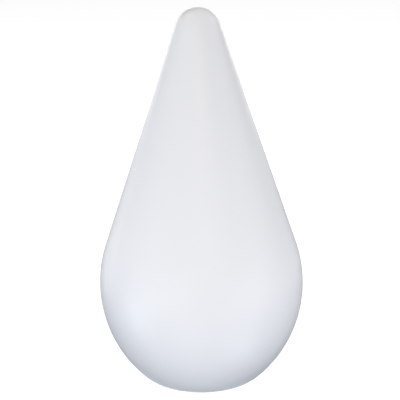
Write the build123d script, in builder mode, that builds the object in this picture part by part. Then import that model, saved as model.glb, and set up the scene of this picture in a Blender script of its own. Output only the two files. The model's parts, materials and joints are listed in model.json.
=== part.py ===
"""Drop-shaped cool mist humidifier: a lift-off water tank over a recessed ultrasonic base.

Millimetres, +Z up, origin on the table under the centre of the drop, front at -Y.
The tank is the whole visible drop. Its underside and its rear are cut away in a keyhole
outline, and the base fills that space: a round foot with an arm that runs out to the rear,
where its outer face carries on the surface of the drop and holds the controls.
"""

import os
from math import asin, atan2, cos, degrees, hypot, radians, sin, tan

from build123d import *

os.makedirs("parts", exist_ok=True)

# Driving dimensions of the drop
belly_radius = 100.0  # widest section
belly_height = 100.5
belly_arc = 122.8  # radius of the meridian through the belly
heel_arc = 42.3  # tighter meridian under the belly
heel_angle = 46.9  # below horizontal, where the belly meridian hands over to the heel
tip_radius = 22.3
tip_height = 348.9  # centre of the round tip
rim_height = 2.5  # underside of the tank above the table
shell_wall = 2.5
overlap = 1.0  # how far a cut or a joined piece runs past the face that it meets

# Driving dimensions of the base and of the recess that it fills
foot_radius = 43.0
arm_half_width = 27.5
arm_reach = 130.0
corner_radius = 8.0  # where the arm leaves the round foot
base_wall = 2.2
recess_gap = 1.0
lift_gap = 0.3
housing_bottom = 4.7
housing_top = 105.0
bay_top = 75.8  # ceiling of the electronics bay
basin_floor = 78.0

# Worked-out centres of the meridian arcs
belly_arc_x = belly_radius - belly_arc
heel_x = belly_arc_x + (belly_arc - heel_arc) * cos(radians(heel_angle))
heel_z = belly_height - (belly_arc - heel_arc) * sin(radians(heel_angle))
centre_distance = hypot(belly_arc_x, tip_height - belly_height)
centre_slope = degrees(atan2(tip_height - belly_height, -belly_arc_x))
flank_angle = centre_slope - 90 + degrees(asin((belly_arc - tip_radius) / centre_distance))

recess_top = housing_top + lift_gap
tank_floor_top = recess_top + base_wall

written = []


def save(builder, label):
    """Label a finished piece and write it to its own STEP file."""
    builder.part.label = label
    export_step(builder.part, f"parts/{label}.step")
    written.append(label)


def polar(centre, radius, angle):
    """Point on a meridian arc, at an angle in degrees above horizontal."""
    return (centre[0] + radius * cos(radians(angle)), centre[1] + radius * sin(radians(angle)))


def drop_solid(inset):
    """Solid drop whose surface lies the given distance inside the outer surface."""
    tip = (0, tip_height)
    belly = (belly_arc_x, belly_height)
    heel = (heel_x, heel_z)
    tip_r = tip_radius - inset
    belly_r = belly_arc - inset
    heel_r = heel_arc - inset
    rim_angle = -degrees(asin((heel_z - rim_height) / heel_r))
    with BuildPart() as drop:
        with BuildSketch(Plane.XZ):
            with BuildLine():
                CenterArc(tip, tip_r, flank_angle, 90 - flank_angle)
                Line(polar(tip, tip_r, flank_angle), polar(belly, belly_r, flank_angle))
                CenterArc(belly, belly_r, flank_angle, -heel_angle - flank_angle)
                CenterArc(heel, heel_r, -heel_angle, rim_angle + heel_angle)
                Polyline(polar(heel, heel_r, rim_angle), (0, rim_height), (0, tip_height + tip_r))
            make_face()
        revolve(axis=Axis.Z)
    return drop.part


def keyhole_prism(grow, bottom, top):
    """Upright prism of the keyhole outline: a round foot with an arm to the rear."""
    with BuildPart() as prism:
        with BuildSketch(Plane.XY.offset(bottom)) as outline:
            Circle(foot_radius + grow)
            with Locations((0, arm_reach / 2)):
                Rectangle(2 * (arm_half_width + grow), arm_reach)
            inner_corners = outline.vertices().filter_by_position(Axis.Y, overlap, arm_reach - overlap)
            fillet(inner_corners, corner_radius - grow)
        extrude(amount=top - bottom)
    return prism.part


outer_drop = drop_solid(0)
inner_drop = drop_solid(shell_wall)

# ---------------------------------------------------------------------------
# Tank: shell, floor, mist chimney and nozzle seat
# ---------------------------------------------------------------------------

# The nozzle looks up and back out of the rear of the tip
nozzle_tilt = 48.0
nozzle_axis = Plane(
    origin=(0, 0, tip_height),
    x_dir=(-1, 0, 0),
    z_dir=(0, sin(radians(nozzle_tilt)), cos(radians(nozzle_tilt))),
)
seat_radius = 12.5
seat_bore = 10.55
seat_bottom = 11.5  # from the centre of the tip, along the nozzle axis
seat_ledge = 1.5
nozzle_radius = 10.5
nozzle_bottom = 13.3

liner_block = keyhole_prism(recess_gap + base_wall, rim_height, tank_floor_top)
recess_space = keyhole_prism(recess_gap, 0, recess_top)

with BuildPart() as tank_shell:
    add(outer_drop)
    add(inner_drop, mode=Mode.SUBTRACT)
    add(liner_block, mode=Mode.SUBTRACT)
    with BuildSketch(nozzle_axis):
        Circle(seat_radius)
    extrude(amount=2 * tip_radius, mode=Mode.SUBTRACT)
save(tank_shell, "tank_shell")

# Filler neck in the tank floor, over the arm, with three bayonet lugs
filler_y = 58.0
neck_radius = 19.0
neck_bore = 16.8
neck_bottom = 96.0
lug_radius = 20.4
lug_bottom = 97.5
lug_height = 2.0
bayonet_count = 3
bayonet_arc = 40.0

chimney_radius = 11.0
chimney_bore = 9.5
chimney_bottom = 101.0
chimney_top = 332.0
socket_clearance = 0.05
collar_radius = 15.0
collar_height = 9.0
chimney_seal_radius = 13.2
chimney_seal_height = 2.4
chimney_seal_round = 0.6


def ring_sectors(outer, inner, count, arc, start=0.0):
    """Evenly spaced ring sectors, drawn in the sketch that is open."""
    for index in range(count):
        angle = start + index * 360 / count - arc / 2
        with BuildLine() as sector:
            outside = CenterArc((0, 0), outer, angle, arc)
            inside = CenterArc((0, 0), inner, angle, arc)
            Line(outside @ 0, inside @ 0)
            Line(outside @ 1, inside @ 1)
        make_face(sector.edges())


with BuildPart() as tank_floor:
    add(liner_block)
    add(recess_space, mode=Mode.SUBTRACT)
    add(outer_drop, mode=Mode.INTERSECT)
    # Neck that hangs below the floor
    with BuildSketch(Plane.XY.offset(neck_bottom)):
        with Locations((0, filler_y)):
            Circle(neck_radius)
    extrude(amount=recess_top - neck_bottom)
    with BuildSketch(Plane(origin=(0, filler_y, lug_bottom))):
        ring_sectors(lug_radius, neck_radius - overlap, bayonet_count, bayonet_arc)
    extrude(amount=lug_height)
    with BuildSketch(Plane.XY.offset(neck_bottom)):
        with Locations((0, filler_y)):
            Circle(neck_bore)
    extrude(amount=tank_floor_top - neck_bottom, mode=Mode.SUBTRACT)
    # Collar that seals round the foot of the chimney
    with BuildSketch(Plane.XY.offset(tank_floor_top)):
        Circle(collar_radius)
    extrude(amount=collar_height)
    with BuildSketch(Plane.XY.offset(recess_top)):
        Circle(chimney_radius + socket_clearance)
    extrude(amount=base_wall + collar_height, mode=Mode.SUBTRACT)
    with BuildSketch(Plane.XY.offset(tank_floor_top + collar_height)):
        Circle(chimney_seal_radius)
    extrude(amount=-chimney_seal_height, mode=Mode.SUBTRACT)
save(tank_floor, "tank_floor")

with BuildPart() as mist_chimney:
    with BuildSketch(Plane.XY.offset(chimney_bottom)):
        Circle(chimney_radius)
        Circle(chimney_bore, mode=Mode.SUBTRACT)
    extrude(amount=chimney_top - chimney_bottom)
save(mist_chimney, "mist_chimney")

with BuildPart() as chimney_seal:
    with BuildSketch(Plane.XY.offset(tank_floor_top + collar_height - chimney_seal_height)):
        Circle(chimney_seal_radius)
        Circle(chimney_radius, mode=Mode.SUBTRACT)
    extrude(amount=chimney_seal_height)
    fillet(chimney_seal.edges().group_by(Axis.Z)[-1], chimney_seal_round)
save(chimney_seal, "chimney_seal")

# Elbow that takes the mist from the chimney to the tilted nozzle seat
elbow_bend = 14.0
elbow_socket_radius = 12.6
elbow_socket_depth = 10.0
bend_run = elbow_bend * tan(radians(nozzle_tilt / 2))


def elbow_path(bottom):
    """Centre line: straight up the axis, round the bend and out along the nozzle."""
    with BuildLine() as path:
        rise = Line((0, 0, bottom), (0, 0, tip_height - bend_run))
        bend = TangentArc(rise @ 1, nozzle_axis.from_local_coords((0, 0, bend_run)), tangent=(0, 0, 1))
        Line(bend @ 1, nozzle_axis.from_local_coords((0, 0, seat_bottom)))
    return path.wire()


elbow_line = elbow_path(chimney_top)

with BuildPart() as mist_elbow:
    with BuildSketch(Plane.XY.offset(chimney_top)):
        Circle(chimney_radius)
    sweep(path=elbow_line)
    with BuildSketch(Plane.XY.offset(chimney_top - elbow_socket_depth)):
        Circle(elbow_socket_radius)
    extrude(amount=elbow_socket_depth + base_wall)
    with BuildSketch(Plane.XY.offset(chimney_top)):
        Circle(chimney_bore)
    sweep(path=elbow_line, mode=Mode.SUBTRACT)
    with BuildSketch(Plane.XY.offset(chimney_top - elbow_socket_depth)):
        Circle(chimney_radius + socket_clearance)
    extrude(amount=elbow_socket_depth, mode=Mode.SUBTRACT)
save(mist_elbow, "mist_elbow")

with BuildPart() as nozzle_seat:
    with BuildSketch(nozzle_axis.offset(seat_bottom)):
        Circle(seat_radius)
        Circle(chimney_bore, mode=Mode.SUBTRACT)
    extrude(amount=tip_radius)
    with BuildSketch(nozzle_axis.offset(seat_bottom + seat_ledge)):
        Circle(seat_bore)
    extrude(amount=tip_radius, mode=Mode.SUBTRACT)
    add(outer_drop, mode=Mode.INTERSECT)
save(nozzle_seat, "nozzle_seat")

# ---------------------------------------------------------------------------
# Rotating nozzle: a ring of louvres that aims the mist
# ---------------------------------------------------------------------------

nozzle_ring_bore = 8.7
seal_groove_bottom = 14.6
seal_groove_height = 1.6
seal_groove_radius = 9.6
vane_count = 4
vane_pitch = 3.6
vane_thickness = 1.2
vane_lean = 25.0
vane_recess = 1.0
vane_bottom = 15.5
vane_centre = 18.5
vane_depth = 14.0
vane_root = 0.4  # how far the vanes run into the ring

recessed_drop = drop_solid(vane_recess)

with BuildPart() as vanes:
    for index in range(vane_count):
        shift = (index - (vane_count - 1) / 2) * vane_pitch
        with Locations(nozzle_axis.offset(vane_centre)):
            with Locations(Location((0, shift, 0), (vane_lean, 0, 0))):
                Box(2 * nozzle_radius, vane_thickness, vane_depth)
    with BuildSketch(nozzle_axis.offset(vane_bottom)):
        Circle(nozzle_ring_bore + vane_root)
    extrude(amount=tip_radius, mode=Mode.INTERSECT)
    add(recessed_drop, mode=Mode.INTERSECT)

with BuildPart() as mist_nozzle:
    with BuildSketch(nozzle_axis.offset(nozzle_bottom)):
        Circle(nozzle_radius)
        Circle(nozzle_ring_bore, mode=Mode.SUBTRACT)
    extrude(amount=tip_radius)
    add(outer_drop, mode=Mode.INTERSECT)
    add(vanes.part)
    with BuildSketch(nozzle_axis.offset(seal_groove_bottom)):
        Circle(nozzle_radius + overlap)
        Circle(seal_groove_radius, mode=Mode.SUBTRACT)
    extrude(amount=seal_groove_height, mode=Mode.SUBTRACT)
save(mist_nozzle, "mist_nozzle")

with BuildPart() as nozzle_seal:
    with BuildSketch(nozzle_axis.offset(seal_groove_bottom)):
        Circle(nozzle_radius)
        Circle(seal_groove_radius, mode=Mode.SUBTRACT)
    extrude(amount=seal_groove_height)
save(nozzle_seal, "nozzle_seal")

# ---------------------------------------------------------------------------
# Tank cap with its water valve
# ---------------------------------------------------------------------------

cap_bottom = 90.5
cap_plate = 2.0
cap_top = 103.5
cap_radius = 23.0
cap_bore = 20.8
cap_rib_radius = 23.8
cap_rib_count = 18
cap_rib_width = 1.6
tab_bore = 19.3
tab_bottom = 100.0
tab_height = 2.0
tab_root = 0.5  # how far the tabs run into the wall of the cap
outlet_radius = 5.0
cage_leg_radius = 11.0
cage_leg_size = 2.4
cage_top = 114.0
cage_hub_radius = 5.0
cage_hub_height = 2.0
gasket_clearance = 0.1
gasket_lip = 0.5
stem_radius = 1.8
stem_bottom = 86.0
stem_top = 117.0
stem_round = 0.8
stem_running_clearance = 0.07
head_radius = 8.0
head_bottom = 98.1
head_height = 1.6
valve_seal_radius = 7.5
valve_travel = 4.0
cap_floor = cap_bottom + cap_plate
valve_seal_bottom = cap_floor + valve_travel + gasket_clearance

filler_plane = Plane(origin=(0, filler_y, 0))

with BuildPart() as tank_cap:
    with BuildSketch(filler_plane.offset(cap_bottom)):
        Circle(cap_radius)
        with PolarLocations(cap_radius, cap_rib_count):
            Rectangle(2 * (cap_rib_radius - cap_radius), cap_rib_width)
    extrude(amount=cap_top - cap_bottom)
    with BuildSketch(filler_plane.offset(cap_floor)):
        Circle(cap_bore)
    extrude(amount=cap_top - cap_floor, mode=Mode.SUBTRACT)
    with BuildSketch(filler_plane.offset(tab_bottom)):
        ring_sectors(cap_bore + tab_root, tab_bore, bayonet_count, bayonet_arc)
    extrude(amount=tab_height)
    with BuildSketch(filler_plane.offset(cap_bottom)):
        Circle(outlet_radius)
    extrude(amount=cap_plate, mode=Mode.SUBTRACT)
    # Cage that guides the top of the valve stem
    with BuildSketch(filler_plane.offset(cap_floor)):
        with PolarLocations(cage_leg_radius, bayonet_count):
            Rectangle(cage_leg_size, cage_leg_size)
    extrude(amount=cage_top - cap_floor)
    with BuildSketch(filler_plane.offset(cage_top)):
        Circle(cage_hub_radius)
        with PolarLocations(cage_leg_radius / 2, bayonet_count):
            Rectangle(cage_leg_radius, cage_leg_size)
    extrude(amount=-cage_hub_height)
    with BuildSketch(filler_plane.offset(cage_top)):
        Circle(stem_radius + stem_running_clearance)
    extrude(amount=-cage_hub_height, mode=Mode.SUBTRACT)
save(tank_cap, "tank_cap")

with BuildPart() as cap_gasket:
    with BuildSketch(filler_plane.offset(cap_floor)):
        Circle(neck_radius)
        Circle(neck_bore - gasket_lip, mode=Mode.SUBTRACT)
    extrude(amount=neck_bottom - gasket_clearance - cap_floor)
save(cap_gasket, "cap_gasket")

with BuildPart() as valve_stem:
    with BuildSketch(filler_plane.offset(stem_bottom)):
        Circle(stem_radius)
    extrude(amount=stem_top - stem_bottom)
    with BuildSketch(filler_plane.offset(head_bottom)):
        Circle(head_radius)
    extrude(amount=head_height)
    fillet(valve_stem.edges().group_by(Axis.Z)[-1], stem_round)
save(valve_stem, "valve_stem")

with BuildPart() as valve_seal:
    with BuildSketch(filler_plane.offset(valve_seal_bottom)):
        Circle(valve_seal_radius)
        Circle(stem_radius, mode=Mode.SUBTRACT)
    extrude(amount=head_bottom - valve_seal_bottom)
save(valve_seal, "valve_seal")

spring_wire = 0.45
spring_radius = 3.6
spring_turns = 5
spring_bottom = head_bottom + head_height + spring_wire
spring_top = cage_top - cage_hub_height - spring_wire

with BuildPart() as valve_spring:
    with BuildLine():
        coil = Helix(
            pitch=(spring_top - spring_bottom) / spring_turns,
            height=spring_top - spring_bottom,
            radius=spring_radius,
            center=(0, filler_y, spring_bottom),
        )
    with BuildSketch(Plane(origin=coil @ 0, z_dir=coil % 0)):
        Circle(spring_wire)
    sweep(path=coil, is_frenet=True)
save(valve_spring, "valve_spring")

# ---------------------------------------------------------------------------
# Control panel on the rear of the arm
# ---------------------------------------------------------------------------

panel_angle = 24.0  # how far the surface looks down below horizontal
panel_radius = belly_arc_x + belly_arc * cos(radians(panel_angle))
panel_height = belly_height - belly_arc * sin(radians(panel_angle))
panel = Plane(
    origin=(0, panel_radius, panel_height),
    x_dir=(-1, 0, 0),
    z_dir=(0, cos(radians(panel_angle)), -sin(radians(panel_angle))),
)

dial_radius = 9.5
dial_proud = 3.2
dial_well_radius = 11.0
dial_well_depth = 4.0
dial_gap = 0.4
well_wall = 1.6
shaft_radius = 2.9
shaft_hole = 3.2
shaft_gap = 0.06
side_control_x = 19.5
button_radius = 4.5
button_hole = 4.7
button_proud = 0.8
button_flange_radius = 5.5
button_flange_top = -6.0
button_flange_height = 1.2
button_stock = 20.0  # from the flange to well outside the drop
lens_radius = 2.2
board_face = -12.4  # along the panel normal
board_thickness = 1.6
post_x = 20.0
post_y = -9.0
post_radius = 2.2
post_top = -5.0
board_screw_radius = 1.0

jack_height = 24.0
jack_face = 64.0
jack_depth = 14.0
jack_width = 9.0
jack_tall = 11.0
plug_radius = 5.5
jack_bore = 3.2
jack_bore_depth = 9.5
jack_pin_radius = 1.05
jack_pin_recess = 0.8
jack_axis = Plane(origin=(0, jack_face, jack_height), x_dir=(1, 0, 0), z_dir=(0, 1, 0))

# Fan, air duct and the column that carries air above the water line
fan_y = 26.0
fan_size = 35.0
fan_bottom = 8.0
fan_height = 10.0
fan_top = fan_bottom + fan_height
column_y = 24.5
column_width = 24.0
column_depth = 13.0
column_round = 5.0
column_top = 99.0
duct_wall = 1.5

# Float, in the front of the basin
float_y = -29.0
float_post_radius = 2.0
float_post_top = 99.5

# Ultrasonic transducer, on the drop's axis
transducer_window = 8.5
clamp_boss_circle = 15.0
clamp_boss_radius = 2.4
clamp_screw_radius = 0.9
clamp_top = 70.6
clamp_count = 3
clamp_start = 30.0

cover_screw_places = [(-32.5, -20), (32.5, -20), (-28, 26), (28, 26)]
foot_places = [(-22, -30), (22, -30), (-16, 38), (16, 38)]
boss_radius = 2.8
boss_top = 20.0
cover_screw_radius = 1.25
pin_radius = 2.5
pin_gap = 0.2
pin_rib_count = 4
pin_rib_width = 1.2

driver_y = -24.0
driver_half_width = 24.0
driver_bottom = 12.0
driver_height = 50.0
rail_inner = 21.0
rail_outer = 33.5
rail_width = 5.0

bay_block = keyhole_prism(-base_wall, 0, bay_top) & inner_drop
basin_block = keyhole_prism(-base_wall, basin_floor, housing_top + overlap) & inner_drop

with BuildPart() as plug_tunnel:
    with BuildSketch(jack_axis):
        Circle(plug_radius + well_wall)
    extrude(amount=belly_radius - jack_face)
    add(outer_drop, mode=Mode.INTERSECT)

with BuildPart() as base_housing:
    add(keyhole_prism(0, housing_bottom, housing_top))
    add(outer_drop, mode=Mode.INTERSECT)
    add(bay_block, mode=Mode.SUBTRACT)
    add(basin_block, mode=Mode.SUBTRACT)
    # Air column through the basin
    with BuildSketch(Plane.XY.offset(bay_top)):
        with Locations((0, column_y)):
            RectangleRounded(column_width, column_depth, column_round)
    extrude(amount=column_top - bay_top)
    with BuildSketch(Plane.XY.offset(bay_top)):
        with Locations((0, column_y)):
            RectangleRounded(
                column_width - 2 * duct_wall, column_depth - 2 * duct_wall, column_round - duct_wall
            )
    extrude(amount=column_top - bay_top, mode=Mode.SUBTRACT)
    # Float post, and the ribbed pin that opens the tank valve
    with BuildSketch(Plane.XY.offset(basin_floor)):
        with Locations((0, float_y)):
            Circle(float_post_radius)
    extrude(amount=float_post_top - basin_floor)
    with BuildSketch(Plane.XY.offset(basin_floor)):
        with Locations((0, filler_y)):
            Circle(pin_radius)
        with Locations(filler_plane.location):
            with PolarLocations(pin_radius, pin_rib_count):
                Rectangle(2 * pin_radius, pin_rib_width)
    extrude(amount=stem_bottom - pin_gap - basin_floor)
    # Transducer window and the bosses of its clamp
    with BuildSketch(Plane.XY.offset(bay_top)):
        Circle(transducer_window)
    extrude(amount=basin_floor - bay_top, mode=Mode.SUBTRACT)
    with BuildSketch(Plane.XY.offset(bay_top)):
        with PolarLocations(clamp_boss_circle, clamp_count, start_angle=clamp_start):
            Circle(clamp_boss_radius)
            Circle(clamp_screw_radius, mode=Mode.SUBTRACT)
    extrude(amount=clamp_top - bay_top)
    # Screw bosses for the bottom cover
    with BuildSketch(Plane.XY.offset(housing_bottom)):
        with Locations(*cover_screw_places):
            Circle(boss_radius)
            Circle(cover_screw_radius, mode=Mode.SUBTRACT)
    extrude(amount=boss_top - housing_bottom)
    # Rails that hold the edges of the driver board
    with BuildSketch(Plane.XY.offset(driver_bottom)):
        for side in (-1, 1):
            with Locations((side * (rail_inner + rail_outer) / 2, driver_y)):
                Rectangle(rail_outer - rail_inner, rail_width)
            with Locations((side * (rail_inner + driver_half_width) / 2, driver_y)):
                Rectangle(driver_half_width - rail_inner, board_thickness, mode=Mode.SUBTRACT)
    extrude(amount=driver_height)
    # Posts for the control board, and the well and holes of the controls
    with BuildSketch(panel.offset(board_face)):
        with Locations((-post_x, post_y), (post_x, post_y)):
            Circle(post_radius)
            Circle(board_screw_radius, mode=Mode.SUBTRACT)
    extrude(amount=post_top - board_face)
    with BuildSketch(panel.offset(-dial_well_depth - base_wall)):
        Circle(dial_well_radius + well_wall)
    extrude(amount=dial_well_depth)
    with BuildSketch(panel.offset(-dial_well_depth)):
        Circle(dial_well_radius)
    extrude(amount=dial_well_depth + overlap, mode=Mode.SUBTRACT)
    with BuildSketch(panel.offset(-dial_well_depth - base_wall)):
        Circle(shaft_hole)
        with Locations((side_control_x, 0)):
            Circle(button_hole)
        with Locations((-side_control_x, 0)):
            Circle(lens_radius)
    extrude(amount=dial_well_depth + base_wall + overlap, mode=Mode.SUBTRACT)
    # Tunnel that leads a plug to the power jack
    add(plug_tunnel.part)
    with BuildSketch(jack_axis):
        Circle(plug_radius)
    extrude(amount=belly_radius - jack_face, mode=Mode.SUBTRACT)
save(base_housing, "base_housing")

# ---------------------------------------------------------------------------
# Base: bottom cover, feet and fasteners
# ---------------------------------------------------------------------------

cover_thickness = housing_bottom - rim_height
screw_head_radius = 2.8
screw_head_height = 1.1
screw_head_recess = 0.2
screw_head_clearance = 0.3
screw_length = 12.0
cross_length = 3.2
cross_width = 0.8
cross_depth = 0.7
foot_pad_radius = 5.0
foot_stud_radius = 2.0
foot_chamfer = 0.5
vent_count = 7
vent_pitch = 4.2
vent_width = 2.2
vent_circle = 13.5
collar_inner = 31.0

head_bottom_z = rim_height + screw_head_recess
head_top_z = head_bottom_z + screw_head_height

with BuildPart() as base_cover:
    add(keyhole_prism(0, rim_height, housing_bottom))
    add(outer_drop, mode=Mode.INTERSECT)
    with BuildSketch(Plane.XY.offset(housing_bottom)):
        with Locations((0, fan_y)):
            Rectangle(fan_size, fan_size)
            Rectangle(collar_inner, collar_inner, mode=Mode.SUBTRACT)
    extrude(amount=fan_bottom - housing_bottom)
    with BuildSketch(Plane.XY.offset(rim_height)):
        for index in range(vent_count):
            shift = (index - (vent_count - 1) / 2) * vent_pitch
            half = (vent_circle**2 - shift**2) ** 0.5
            with Locations((shift, fan_y)):
                SlotOverall(2 * half, vent_width, rotation=90)
        with Locations(*foot_places):
            Circle(foot_stud_radius)
        with Locations(*cover_screw_places):
            Circle(cover_screw_radius)
    extrude(amount=cover_thickness, mode=Mode.SUBTRACT)
    with BuildSketch(Plane.XY.offset(rim_height)):
        with Locations(*cover_screw_places):
            Circle(screw_head_radius + screw_head_clearance)
    extrude(amount=head_top_z - rim_height, mode=Mode.SUBTRACT)
save(base_cover, "base_cover")

with BuildPart() as cover_screws:
    with BuildSketch(Plane.XY.offset(head_bottom_z)):
        with Locations(*cover_screw_places):
            Circle(screw_head_radius)
    extrude(amount=screw_head_height)
    with BuildSketch(Plane.XY.offset(head_top_z)):
        with Locations(*cover_screw_places):
            Circle(cover_screw_radius)
    extrude(amount=screw_length)
    with BuildSketch(Plane.XY.offset(head_bottom_z)):
        for place in cover_screw_places:
            with Locations(place):
                Rectangle(cross_length, cross_width)
                Rectangle(cross_width, cross_length)
    extrude(amount=cross_depth, mode=Mode.SUBTRACT)
save(cover_screws, "cover_screws")

with BuildPart() as rubber_feet:
    with BuildSketch(Plane.XY):
        with Locations(*foot_places):
            Circle(foot_pad_radius)
    extrude(amount=rim_height)
    chamfer(rubber_feet.edges().group_by(Axis.Z)[0], foot_chamfer)
    with BuildSketch(Plane.XY.offset(rim_height)):
        with Locations(*foot_places):
            Circle(foot_stud_radius)
    extrude(amount=cover_thickness)
save(rubber_feet, "rubber_feet")

# ---------------------------------------------------------------------------
# Fan and air duct
# ---------------------------------------------------------------------------

fan_bore = 16.4
fan_corner = 3.0
fan_hub_radius = 8.0
fan_strut_count = 3
fan_strut_width = 2.0
fan_plate = 1.6
fan_axle_radius = 1.0
fan_axle_clearance = 0.06
rotor_radius = 15.8
rotor_bottom = fan_bottom + fan_plate + 0.4
rotor_height = 7.4
blade_count = 7
blade_pitch_angle = 38.0
blade_thickness = 1.0
blade_root = 1.5  # how far a blade runs into the hub, and past the rim before it is trimmed
fan_plane = Plane(origin=(0, fan_y, fan_bottom))

with BuildPart() as fan_frame:
    with BuildSketch(fan_plane):
        RectangleRounded(fan_size, fan_size, fan_corner)
        Circle(fan_bore, mode=Mode.SUBTRACT)
    extrude(amount=fan_height)
    with BuildSketch(fan_plane):
        Circle(fan_hub_radius)
        with PolarLocations(fan_bore / 2, fan_strut_count):
            Rectangle(fan_bore + 2 * overlap, fan_strut_width)
        Circle(fan_axle_radius + fan_axle_clearance, mode=Mode.SUBTRACT)
    extrude(amount=fan_plate)
save(fan_frame, "fan_frame")

rotor_plane = fan_plane.offset(rotor_bottom - fan_bottom)
blade_length = rotor_radius - fan_hub_radius + 2 * blade_root

with BuildPart() as blade_space:
    with BuildSketch(rotor_plane):
        Circle(rotor_radius)
    extrude(amount=rotor_height)

with BuildPart() as fan_impeller:
    with Locations(rotor_plane.offset(rotor_height / 2)):
        with PolarLocations((rotor_radius + fan_hub_radius) / 2, blade_count):
            Box(blade_length, blade_thickness, 2 * fan_height, rotation=(blade_pitch_angle, 0, 0))
    add(blade_space.part, mode=Mode.INTERSECT)
    with BuildSketch(rotor_plane):
        Circle(fan_hub_radius)
    extrude(amount=rotor_height)
    with BuildSketch(rotor_plane):
        Circle(fan_axle_radius)
    extrude(amount=-fan_plate)
save(fan_impeller, "fan_impeller")

duct_hood_top = 34.0

with BuildPart() as air_duct:
    with BuildSketch(Plane.XY.offset(fan_top)):
        with Locations((0, fan_y)):
            RectangleRounded(fan_size, fan_size, fan_corner)
    with BuildSketch(Plane.XY.offset(duct_hood_top)):
        with Locations((0, column_y)):
            RectangleRounded(column_width, column_depth, column_round)
    loft()
    with BuildSketch(Plane.XY.offset(duct_hood_top)):
        with Locations((0, column_y)):
            RectangleRounded(column_width, column_depth, column_round)
    extrude(amount=bay_top - duct_hood_top)
    with BuildSketch(Plane.XY.offset(fan_top)):
        with Locations((0, fan_y)):
            RectangleRounded(fan_size - 2 * duct_wall, fan_size - 2 * duct_wall, fan_corner - duct_wall)
    with BuildSketch(Plane.XY.offset(duct_hood_top)):
        with Locations((0, column_y)):
            RectangleRounded(
                column_width - 2 * duct_wall, column_depth - 2 * duct_wall, column_round - duct_wall
            )
    loft(mode=Mode.SUBTRACT)
    with BuildSketch(Plane.XY.offset(duct_hood_top)):
        with Locations((0, column_y)):
            RectangleRounded(
                column_width - 2 * duct_wall, column_depth - 2 * duct_wall, column_round - duct_wall
            )
    extrude(amount=bay_top - duct_hood_top, mode=Mode.SUBTRACT)
save(air_duct, "air_duct")

# ---------------------------------------------------------------------------
# Ultrasonic transducer under the chimney
# ---------------------------------------------------------------------------

disc_radius = 10.5
disc_bottom = 72.4
disc_height = 1.2
transducer_seal_radius = 12.0
clamp_bottom = 69.2
clamp_bore = 7.0
clamp_radius = 13.0
clamp_head_radius = 1.7
clamp_head_height = 1.0
clamp_screw_length = 5.0

with BuildPart() as transducer_disc:
    with BuildSketch(Plane.XY.offset(disc_bottom)):
        Circle(disc_radius)
    extrude(amount=disc_height)
save(transducer_disc, "transducer_disc")

with BuildPart() as transducer_seal:
    with BuildSketch(Plane.XY.offset(clamp_top)):
        Circle(transducer_seal_radius)
        Circle(transducer_window, mode=Mode.SUBTRACT)
    extrude(amount=bay_top - clamp_top)
    with BuildSketch(Plane.XY.offset(disc_bottom)):
        Circle(disc_radius)
    extrude(amount=disc_height, mode=Mode.SUBTRACT)
save(transducer_seal, "transducer_seal")

with BuildPart() as transducer_clamp:
    with BuildSketch(Plane.XY.offset(clamp_bottom)):
        Circle(clamp_radius)
        with PolarLocations(clamp_boss_circle, clamp_count, start_angle=clamp_start):
            Circle(clamp_boss_radius)
        Circle(clamp_bore, mode=Mode.SUBTRACT)
        with PolarLocations(clamp_boss_circle, clamp_count, start_angle=clamp_start):
            Circle(clamp_screw_radius, mode=Mode.SUBTRACT)
    extrude(amount=clamp_top - clamp_bottom)
save(transducer_clamp, "transducer_clamp")

with BuildPart() as clamp_screws:
    with BuildSketch(Plane.XY.offset(clamp_bottom - clamp_head_height)):
        with PolarLocations(clamp_boss_circle, clamp_count, start_angle=clamp_start):
            Circle(clamp_head_radius)
    extrude(amount=clamp_head_height)
    with BuildSketch(Plane.XY.offset(clamp_bottom)):
        with PolarLocations(clamp_boss_circle, clamp_count, start_angle=clamp_start):
            Circle(clamp_screw_radius)
    extrude(amount=clamp_screw_length)
save(clamp_screws, "clamp_screws")

guide_inner = 14.5
guide_outer = 16.0
guide_top = 96.0
guide_slot_width = 7.0
guide_slot_height = 5.0
guide_slot_count = 4
guide_slot_start = 45.0
guide_slot_reach = 6.0

with BuildPart() as mist_guide:
    with BuildSketch(Plane.XY.offset(basin_floor)):
        Circle(guide_outer)
        Circle(guide_inner, mode=Mode.SUBTRACT)
    extrude(amount=guide_top - basin_floor)
    with BuildSketch(Plane.XY.offset(basin_floor)):
        with PolarLocations(guide_outer, guide_slot_count, start_angle=guide_slot_start):
            Rectangle(guide_slot_reach, guide_slot_width)
    extrude(amount=guide_slot_height, mode=Mode.SUBTRACT)
save(mist_guide, "mist_guide")

# ---------------------------------------------------------------------------
# Water level float
# ---------------------------------------------------------------------------

float_radius = 9.0
float_bore = 2.5
float_bottom = 79.0
float_height = 9.0
magnet_inner = 3.4
magnet_outer = 5.4
magnet_height = 3.0
float_round = 1.5

with BuildPart() as float_ring:
    with BuildSketch(Plane(origin=(0, float_y, float_bottom))):
        Circle(float_radius)
        Circle(float_bore, mode=Mode.SUBTRACT)
    extrude(amount=float_height)
    fillet(float_ring.edges().filter_by(GeomType.CIRCLE).sort_by(SortBy.RADIUS)[-2:], float_round)
    with BuildSketch(Plane(origin=(0, float_y, float_bottom))):
        Circle(magnet_outer)
        Circle(magnet_inner, mode=Mode.SUBTRACT)
    extrude(amount=magnet_height, mode=Mode.SUBTRACT)
save(float_ring, "float_ring")

with BuildPart() as float_magnet:
    with BuildSketch(Plane(origin=(0, float_y, float_bottom))):
        Circle(magnet_outer)
        Circle(magnet_inner, mode=Mode.SUBTRACT)
    extrude(amount=magnet_height)
save(float_magnet, "float_magnet")

clip_bottom = 97.0
clip_height = 1.2
clip_radius = 4.5

with BuildPart() as float_clip:
    with BuildSketch(Plane(origin=(0, float_y, clip_bottom))):
        Circle(clip_radius)
        Circle(float_post_radius, mode=Mode.SUBTRACT)
    extrude(amount=clip_height)
save(float_clip, "float_clip")

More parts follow.
